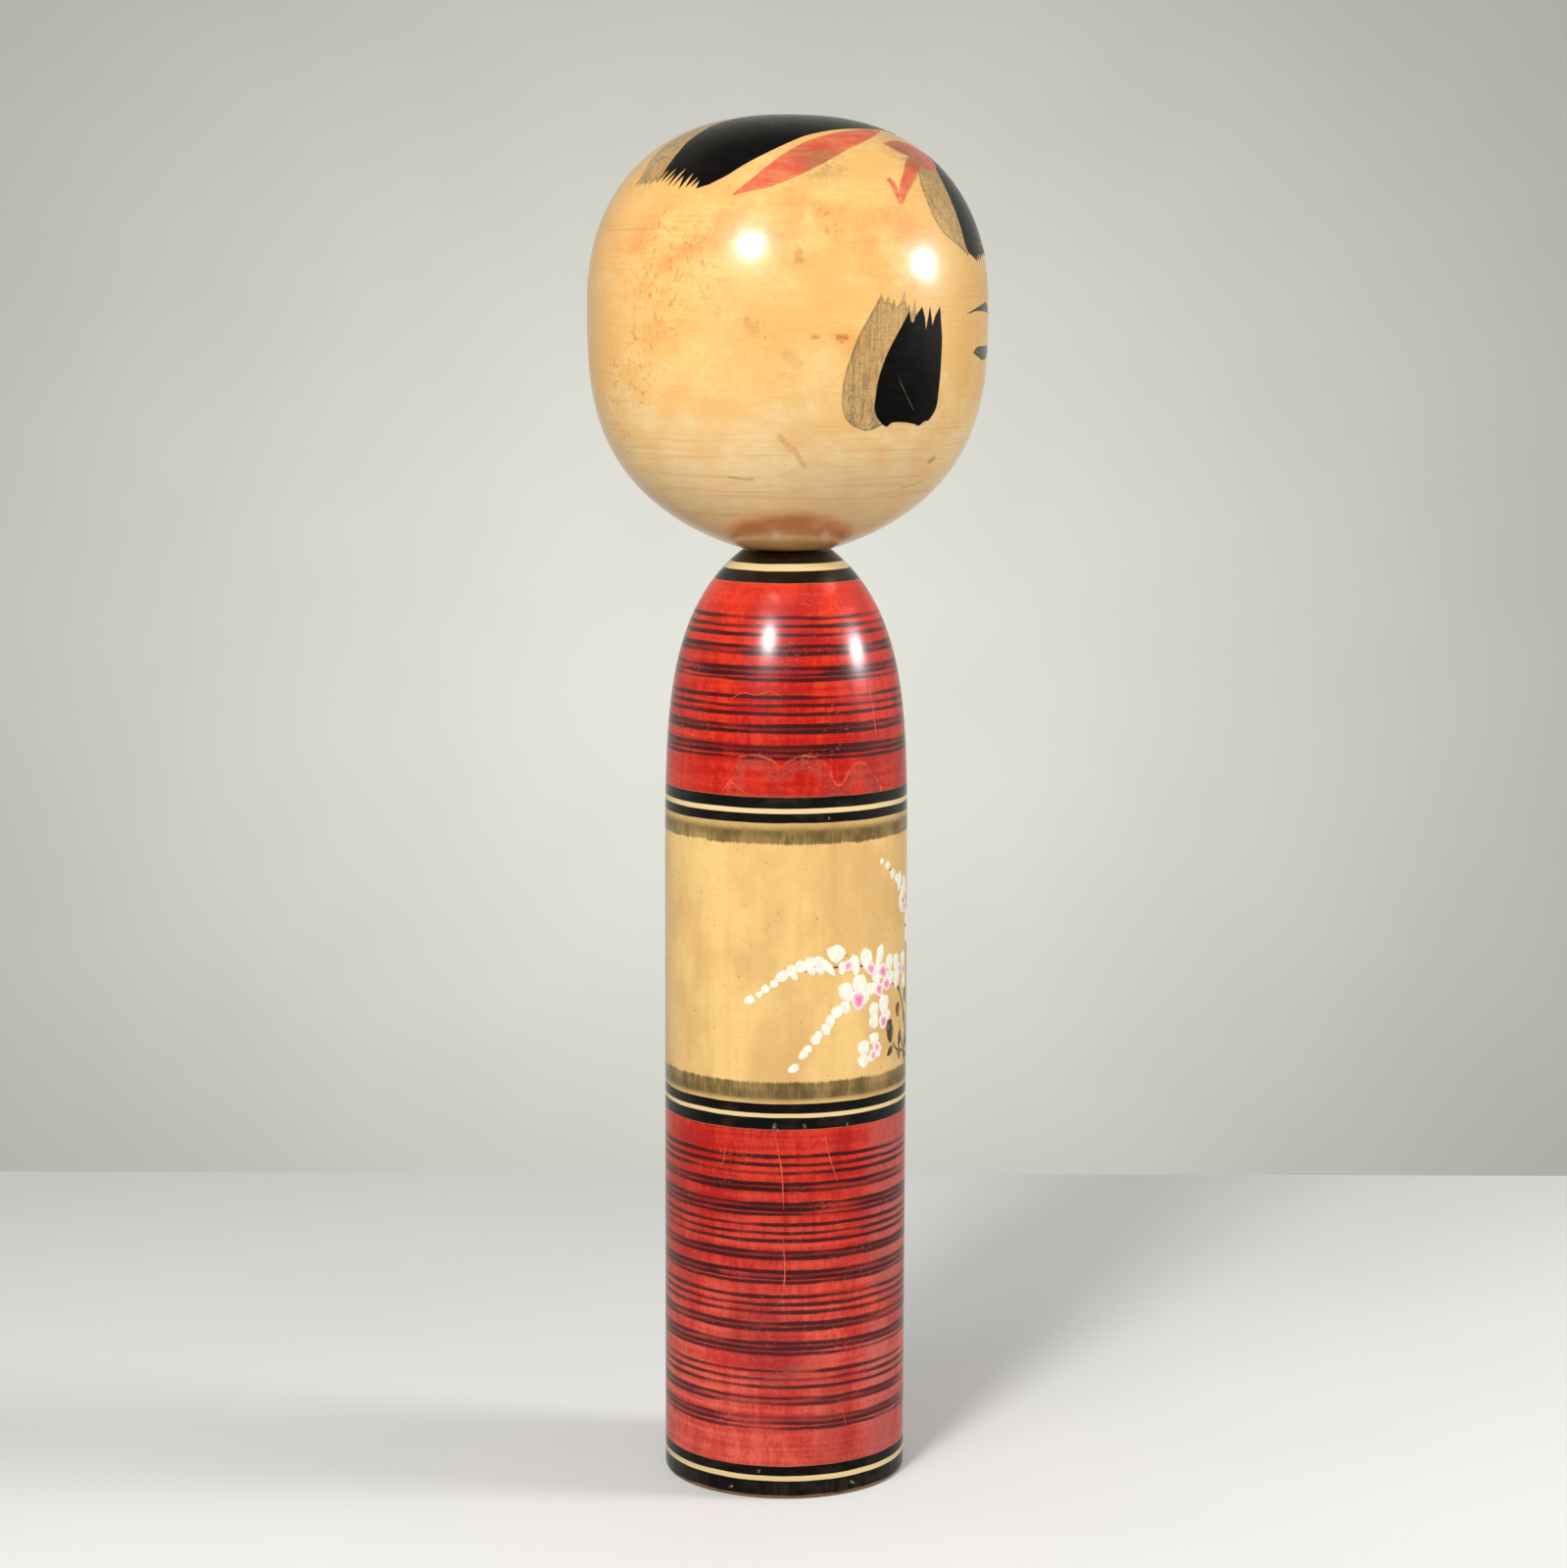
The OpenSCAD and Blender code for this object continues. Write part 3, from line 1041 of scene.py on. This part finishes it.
def leaf_along(centre, widths):
    """An outline round a centreline with a half-width at each of its points."""
    line = smooth(centre)
    where = np.linspace(0, 1, len(line))
    half = np.interp(where, np.linspace(0, 1, len(widths)), widths)
    tangent = np.gradient(line, axis=0)
    normal = np.column_stack([-tangent[:, 1], tangent[:, 0]]) / np.linalg.norm(tangent, axis=1)[:, None]
    left, right = line + normal * half[:, None], line - normal * half[:, None]
    return np.vstack([left, right[::-1]])


def ribbons():
    """On each side a long ribbon, a knot, and a tail with a small hook."""
    long_leaf = leaf_along(
        [(-14, -23.5), (-22, -19.5), (-29, -14.5), (-38, -6), (-44, 1.5), (-48, 9), (-50.5, 19.5)],
        (0.3, 2.2, 3.4, 4.6, 4.3, 3.1, 0.2),
    )
    knot = smooth([
        (-24.5, -24.5), (-16.5, -28.5), (-11.5, -33.5), (-9.5, -39), (-18, -41), (-23.5, -37.5),
        (-22.5, -34.5), (-24.5, -29.5), (-24.5, -24.5),
    ])
    tail = leaf_along(
        [(-20.5, -35.5), (-27.5, -33.5), (-33.5, -33), (-40, -32), (-46, -32)],
        (2.1, 2.1, 1.9, 1.5, 0.6),
    )
    hook = leaf_along([(-45.5, -32), (-43, -30), (-41, -28.5), (-39.5, -26.5)], (0.6, 0.8, 1.05, 1.0))
    return both_sides([long_leaf, knot, tail, hook])


def face_strokes():
    """A brow and an eye on each side, and a small nose."""
    brow = leaf_along(
        [(-31.5, 313), (-25.5, 314), (-19, 314.5), (-14, 314.5), (-8, 312.5)],
        (0.05, 0.3, 0.85, 1.3, 0.15),
    )
    eye = smooth([
        (-26.5, 303), (-23, 304.5), (-16.5, 304.5), (-10.5, 304.5), (-5.5, 303.5), (-11.5, 301.5),
        (-17.5, 301), (-22.5, 302), (-26.5, 303),
    ])
    nostril = leaf_along([(-2.5, 297.5), (-3, 294), (-1.5, 292.5)], (0.25, 0.45, 0.3))
    return on_both_cheeks([brow, eye]) + both_sides([nostril])


def lips():
    upper = smooth([(-3.5, 285.5), (-2, 286.5), (0, 286), (2, 286.5), (3.5, 285.5), (0, 285), (-3.5, 285.5)])
    lower = smooth([(-2.5, 284.5), (0, 284), (2.5, 284.5), (0, 282.5), (-2.5, 284.5)])
    return [face.unrolled(outline) for outline in (upper, lower)]


# ---------------------------------------------------------------- the painted flowers

# Buds from the tip of each spray inwards: azimuth, height, length, width, and the lean from upright
BUDS = (
    (-41, 170, 1.5, 1.5, 0), (-36.5, 168.5, 2, 2, 0), (-32, 166, 2.5, 2.5, 10),
    (-27.5, 164.5, 2.5, 2.5, 0), (-109, 135, 3, 2, 60), (-104.5, 136.5, 1.5, 1.5, 0),
    (-101.5, 138, 2.5, 2, 50), (-97.5, 139.5, 2, 2, 40), (-94, 141.5, 3.5, 2.5, 55),
    (-89.5, 143, 3, 2.5, 30), (-88, 141.5, 2, 1.5, -30), (-85, 144, 3, 3, 30), (-81, 145, 3, 2.5, -15),
    (-80, 143, 2.5, 2, -35), (-76.5, 145, 3, 3, 0), (-76, 143, 2.5, 2, -30), (-88.5, 117, 3, 2, 60),
    (-84, 120.5, 2.5, 2, 50), (-82, 122, 2.5, 2, 60), (-78, 124.5, 2.5, 2.5, -30),
    (-77, 125.5, 2.5, 2, 30), (-73, 127, 3, 2.5, -15), (-71, 129, 3.5, 2.5, 15),
    (-67.5, 131.5, 3, 3, -25), (-63, 132.5, 3.5, 2.5, -30),
)
# Petals, in the same way
PETALS = (
    (-24.5, 163.5, 4.5, 2.5, 10), (-17, 162, 4.5, 2.5, -12), (-21, 160, 4, 3, 25),
    (-22, 157, 4, 2.5, -20), (-12, 153, 4, 3, 0), (-12, 148, 4, 3, 20), (-68, 147, 4, 4.5, 0),
    (-72, 143.5, 4.5, 2, -42), (-65, 143, 3, 2, 0), (-58, 143.5, 5, 2.5, -12),
    (-51, 144.5, 5.5, 3.5, -12), (-45.5, 141, 3, 2.5, -60), (-42.5, 144.5, 6, 2.5, 15),
    (-34.5, 142.5, 4, 3, 0), (-28, 142, 4, 3, 0), (-27.5, 137.5, 4.5, 3, 0), (-34.5, 138.5, 3.5, 4, 0),
    (-19, 142, 4, 3, 0), (-17.5, 136, 4, 3, 0), (-62.5, 136.5, 5, 3.5, -35), (-55, 138, 5, 4, -5),
    (-53, 134.5, 3.5, 3.5, 30), (-48.5, 136.5, 3, 3.5, 0), (-44.5, 139, 2.5, 3, 0),
    (-46, 130.5, 4, 3, -12), (-39, 131.5, 5, 3.5, 0), (-46, 127.5, 3.5, 3, -30),
    (-36, 128.5, 2.5, 2.5, 20), (-52.5, 121, 3.5, 3.5, -20), (-46, 123, 3, 3, 0),
    (-52.5, 117.5, 3, 3.5, 0), (-43.5, 119.5, 3, 2.5, 0),
)
# How much larger than listed buds and petals are painted, and the shape of a heart of size 1
BUD_GROWTH = 1.12
PETAL_GROWTH = 1.2
HEART_LENGTH = 1.3
HEART_WIDTH = 1.1
# Pink hearts: azimuth, height and size
HEARTS = (
    (-16.5, 156, 3), (-62, 143.5, 2.5), (-48.5, 142, 3), (-40, 140.5, 3.5), (-56, 134, 4), (-43, 136, 3),
    (-37, 137, 3), (-18.5, 139, 3), (-39.5, 127, 3), (-44.5, 120.5, 2.5), (-47, 118.5, 2.5),
    (-24.5, 140, 2.5),
)
# Leaves: azimuth, height, length, width, lean
LEAVES = (
    (-33.5, 124, 6.5, 3.5, -8), (-25.5, 129, 4, 2.5, 0), (-14, 132, 4.5, 2, 10), (-23, 121, 4.5, 2, 15),
    (-33.5, 118.5, 3.5, 2, 50), (-23.5, 117, 3.5, 2.5, -20), (-15, 125.5, 4, 2, -12),
    (-13.5, 119.5, 4.5, 2, 10), (-14.5, 115, 4, 2, -30),
)
# Stems, from the root of the bush outwards
STEMS = (
    ((-4, 113.5), (-10, 121), (-19, 130), (-30, 138), (-48, 142.5), (-70, 143.5), (-86, 142.5)),
    ((-4, 113.5), (-6, 124), (-9, 140), (-15, 154), (-26, 163), (-38, 169)),
    ((-4, 113.5), (-12, 121), (-17, 128), (-24, 134), (-34, 137.5)),
    ((-10, 115), (-18, 117), (-27, 118.5), (-31, 121)),
    ((-16, 117), (-21, 121), (-24.5, 127)),
)
# Half a stem's width, from its root to its tip
STEM_WIDTHS = (0.5, 0.4, 0.32, 0.26, 0.15)


def oval(centre, length, width, lean, chance, points=14):
    """A petal, bud or leaf: an egg shape with an uneven edge, its narrow end down before it leans."""
    turn = np.linspace(0, 2 * math.pi, points, endpoint=False)
    reach = 1 + chance.uniform(-0.1, 0.08, points)
    x = width / 2 * np.sin(turn) * (1 + 0.22 * np.cos(turn)) * reach
    y = length / 2 * np.cos(turn) * reach
    a = math.radians(lean)
    shape = np.column_stack([x * math.cos(a) + y * math.sin(a), y * math.cos(a) - x * math.sin(a)])
    shape = shape + panel.unrolled([centre])[0]
    return smooth(np.vstack([shape, shape[:1]]), steps=2)


def on_panel(rows, sign):
    """The painted side's rows as they are, or turned over for the other side with its own small changes."""
    chance = np.random.default_rng(77)
    for azimuth, height, *rest in rows:
        if sign < 0:
            azimuth = -azimuth * 0.94 + chance.uniform(-1.5, 1.5)
            height += chance.uniform(-1.2, 1.2)
        yield azimuth, height, rest


def make_flowers():
    """The outlines of stems, leaves, petals and hearts, on the painted side and on the other side."""
    chance = np.random.default_rng(5)
    stems, leaves, petals, hearts = [], [], [], []

    def ovals(rows, sign, growth):
        for azimuth, height, (length, width, lean) in on_panel(rows, sign):
            yield oval((azimuth, height), length * growth, width * growth, lean * sign, chance)

    for sign in (1, -1):
        petals += ovals(BUDS, sign, BUD_GROWTH)
        petals += ovals(PETALS, sign, PETAL_GROWTH)
        for azimuth, height, (size,) in on_panel(HEARTS, sign):
            lean = chance.uniform(-40, 40)
            hearts.append(oval((azimuth, height), size * HEART_LENGTH, size * HEART_WIDTH, lean, chance))
        leaves += ovals(LEAVES, sign, 1)
        for path in STEMS:
            path = panel.unrolled(np.array(path, float) * [sign, 1])
            stems.append(leaf_along(path, STEM_WIDTHS))
    return stems, leaves, petals, hearts


# ---------------------------------------------------------------- scratches and chips on the body

# Scratches: the widest half-width, then points of (azimuth, height)
SCRATCHES = (
    (0.15, (-120, 193), (-115, 191), (-110, 189)),
    (0.15, (-124, 189), (-121, 191), (-119, 193)),
    (0.1, (-121, 213.5), (-114, 215.5), (-107, 215), (-100, 216), (-93, 214.5)),
    (0.1, (-56, 214.5), (-51, 216), (-46, 214)),
    (0.2, (-48, 219), (-45, 211), (-44, 203)),
    (0.15, (-120, 97.5), (-121.5, 93), (-123.5, 88.5)),
    (0.2, (-97, 100), (-95, 94), (-93.5, 88.5), (-92.5, 77)),
    (0.15, (-73.5, 99), (-70.5, 92), (-66, 85)),
    (0.2, (-93, 72), (-92, 62), (-93.5, 54)),
    (0.15, (-112, 21), (-107, 13.5), (-102.5, 9.5)),
    (0.1, (-97, 19), (-92, 17), (-86.5, 13.5)),
    (0.1, (-66, 26), (-63, 22), (-61, 17)),
    (0.15, (30, 97), (33, 88), (32, 79)),
    (0.1, (76, 240), (80, 233), (79, 226)),
    (0.2, (112, 92), (115, 80), (113, 66)),
    (0.1, (150, 226), (155, 220), (163, 217)),
    (0.15, (170, 60), (176, 52), (178, 43)),
    (0.1, (95, 22), (103, 17), (112, 15)),
)
# Chips in the black bands: azimuth, height, length, width, lean
CHIPS = (
    (-97, 101.5, 1.7, 1.0, 20), (-95.5, 100.5, 1.0, 0.8, 50), (-83, 101.5, 1.4, 0.8, -20),
    (-62, 101, 1.2, 0.6, 10), (-104, 7.5, 1.2, 0.7, 30), (-72, 183, 0.9, 0.5, 0),
    (-118, 2.5, 1.6, 0.8, 70), (-58, 3, 1.8, 0.7, -60), (48, 101.5, 1.6, 0.8, 15),
    (120, 187, 1.3, 0.7, -30), (162, 2.5, 1.8, 0.8, 60), (20, 7.5, 1.0, 0.6, 10),
)


def scratches():
    return [
        leaf_along(panel.unrolled(path), (0.04, half, half * 0.7, half, 0.04))
        for half, *path in SCRATCHES
    ]


def chips():
    chance = np.random.default_rng(21)
    return [oval((azimuth, height), *rest, chance, points=9) for azimuth, height, *rest in CHIPS]


# ---------------------------------------------------------------- putting the doll together

def paint_on_head(name, chart, outlines, material, **layer):
    wear(painted_shapes(name, chart, outlines, "head", "waxed_head", **layer), material)


def paint_on_body(name, outlines, material, **layer):
    wear(painted_shapes(name, panel.chart, outlines, "torso", "painted_body", **layer), material)


painted_wood = make_body_material()
make_body_lower(painted_wood)
make_body_upper(painted_wood)
make_head(make_head_material())
wear(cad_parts["neck_peg"], make_peg_material())

grey_wash = make_hair_wash_material()
black_hair = make_hair_material()
red_paint = make_ribbon_material()
paint_on_head("wash_crown", crown_chart, washes_on_crown(), grey_wash, lift=0.03)
paint_on_head("wash_sidelocks", face.chart, sidelock_washes(), grey_wash, lift=0.03)
paint_on_head("hair_crown", crown_chart, hair_on_crown(), black_hair, lift=0.08)
paint_on_head("hair_sidelocks", face.chart, sidelocks(), black_hair, spacing=0.9, lift=0.08)
paint_on_head("ribbons", crown_chart, ribbons(), red_paint, lift=0.12)
paint_on_head("face_strokes", face.chart, face_strokes(), make_face_material(), spacing=0.5)
paint_on_head("lips", face.chart, lips(), red_paint, spacing=0.4)

stems, leaves, petals, hearts = make_flowers()
dark_leaf = make_leaf_material()
scratched_red = make_dusty_material("worn_marks", 1.2, 2.0, 45, colour(224, 100, 68), colour(190, 52, 34))
chipped_black = make_dusty_material("chipped_marks", 0.7, 0.7, 49, colour(150, 120, 96), colour(70, 50, 40))
paint_on_body("flower_stems", stems, dark_leaf, spacing=0.8, lift=0.04)
paint_on_body("flower_leaves", leaves, dark_leaf, spacing=0.7)
paint_on_body("flower_petals", petals, make_petal_material(), spacing=0.5, dome=0.12)
paint_on_body("flower_hearts", hearts, make_heart_material(), spacing=0.4, lift=0.12, dome=0.1)
paint_on_body("scratches", scratches(), scratched_red, spacing=0.8, lift=0.03)
paint_on_body("chips", chips(), chipped_black, spacing=0.4, lift=0.03)

# ---------------------------------------------------------------- camera

CAMERA_AZIMUTH = math.radians(-92)
CAMERA_DISTANCE = 993.2
CAMERA_HEIGHT = 328.4
CAMERA_SIDE = -0.73
CAMERA_PITCH = math.radians(8.066)
CAMERA_ROLL = math.radians(0.162)
CAMERA_LENS = 86.06

towards_camera = Vector((math.sin(CAMERA_AZIMUTH), -math.cos(CAMERA_AZIMUTH), 0))
image_right = Vector((math.cos(CAMERA_AZIMUTH), math.sin(CAMERA_AZIMUTH), 0))


def from_camera(degrees):
    """The level direction that many degrees to the right of the camera, seen from the doll."""
    a = math.radians(degrees)
    return towards_camera * math.cos(a) + image_right * math.sin(a)


camera_data = bpy.data.cameras.new("camera")
camera_data.lens = CAMERA_LENS
camera = placed("camera", camera_data)
camera.location = (towards_camera * CAMERA_DISTANCE + image_right * CAMERA_SIDE) * MM
camera.location.z = CAMERA_HEIGHT * MM
sight = -towards_camera * math.cos(CAMERA_PITCH) - Vector((0, 0, math.sin(CAMERA_PITCH)))
camera.rotation_mode = "QUATERNION"
camera.rotation_quaternion = sight.to_track_quat("-Z", "Y") @ Quaternion((0, 0, 1), CAMERA_ROLL)
bpy.context.scene.camera = camera

# ---------------------------------------------------------------- stage and lights

TABLE_BACK = 324
TABLE_REACH = 2600
TABLE_THICK = 30
WALL_R = 2100
WALL_LOW = -900
WALL_HIGH = 3200
WALL_GLOW = 0.085
SKY_STRENGTH = 0.11
WALL_GLOW_COLOUR = colour(255, 253, 243)


def stage_object(name, vertices, faces, material):
    made = mesh_object(name, vertices, faces)
    wear(made, material)
    return made


def stage_material(name, tone, tint):
    """Matt paper, very slightly cloudy."""
    p = Paint(name)
    mottle = p.cloud(160, 160, detail=2)
    fibre = p.cloud(1.5, 1.5, detail=1)
    return p.finish(p.mix(p.ramp(mottle, 0.3, 0.7), tone, tint), mottle, (0.7, 0.7), fibre, 0.02, coat=0.0)


def make_table():
    corners = [
        -towards_camera * TABLE_BACK + image_right * TABLE_REACH,
        -towards_camera * TABLE_BACK - image_right * TABLE_REACH,
        towards_camera * TABLE_REACH - image_right * TABLE_REACH,
        towards_camera * TABLE_REACH + image_right * TABLE_REACH,
    ]
    top = [(c.x, c.y, 0) for c in corners]
    bottom = [(c.x, c.y, -TABLE_THICK) for c in corners]
    faces = [(0, 1, 2, 3), (7, 6, 5, 4)] + [(i, i + 4, (i + 1) % 4 + 4, (i + 1) % 4) for i in range(4)]
    paper = stage_material("table_paper", colour(231, 231, 229), colour(228, 228, 227))
    table = stage_object("table", top + bottom, faces, paper)
    table.data.shade_flat()
    table.visible_glossy = False


def make_wall(name, start, end, material):
    """A stretch of curved wall between two directions, in degrees to the right of the camera."""
    segments = 48
    directions = [from_camera(a) * WALL_R for a in np.linspace(start, end, segments + 1)]
    rows = [(d.x, d.y, height) for height in (WALL_LOW, WALL_HIGH) for d in directions]
    faces = [(j, j + 1, j + segments + 2, j + segments + 1) for j in range(segments)]
    return stage_object(name, rows, faces, material)


def make_light(name, degrees, distance, height, half_sizes, watts, aim=(0, 0, 220), glossy=False):
    """An oval light that many degrees to the right of the camera; glossy ones show in the wax."""
    half_width, half_height = half_sizes
    data = bpy.data.lights.new(name, "AREA")
    data.shape = "ELLIPSE"
    data.size = 2 * half_width * MM
    data.size_y = 2 * half_height * MM
    data.energy = watts
    light = placed(name, data)
    place = from_camera(degrees) * distance + Vector((0, 0, height))
    light.location = place * MM
    light.rotation_mode = "QUATERNION"
    light.rotation_quaternion = (Vector(aim) - place).to_track_quat("-Z", "Y")
    light.visible_camera = False
    light.visible_glossy = glossy


make_table()
wall_paper = stage_material("wall_paper", colour(206, 205, 196), colour(203, 202, 194))
wall_inputs = wall_paper.node_tree.nodes["Principled BSDF"].inputs
wall_inputs["Emission Color"].default_value = WALL_GLOW_COLOUR
wall_inputs["Emission Strength"].default_value = WALL_GLOW
make_wall("wall_behind", 85, 275, wall_paper)
front_wall = make_wall("wall_in_front", -85, 85, wall_paper)
front_wall.visible_glossy = False
front_wall.visible_diffuse = False

# Each side has a small bright light that the wax shows, and a large soft one that it does not.
make_light("left_core", -22, 720, 690, (84, 84), 5.0, glossy=True)
make_light("left_panel", -30, 760, 740, (260, 260), 3.2)
make_light("right_core", 84, 900, 530, (150, 84), 5.0, glossy=True)
make_light("right_panel", 92, 940, 600, (240, 240), 1.0)
make_light("overhead_panel", 0, 0, 2300, (900, 900), 7.35)
make_light("wall_light", 181, 1340, -40, (135, 440), 5.8, aim=from_camera(181) * WALL_R)

world = bpy.data.worlds.new("studio")
world.use_nodes = True
background = world.node_tree.nodes["Background"]
background.inputs["Color"].default_value = colour(236, 238, 240)
background.inputs["Strength"].default_value = SKY_STRENGTH
bpy.context.scene.world = world
bpy.context.scene.view_settings.view_transform = "Standard"
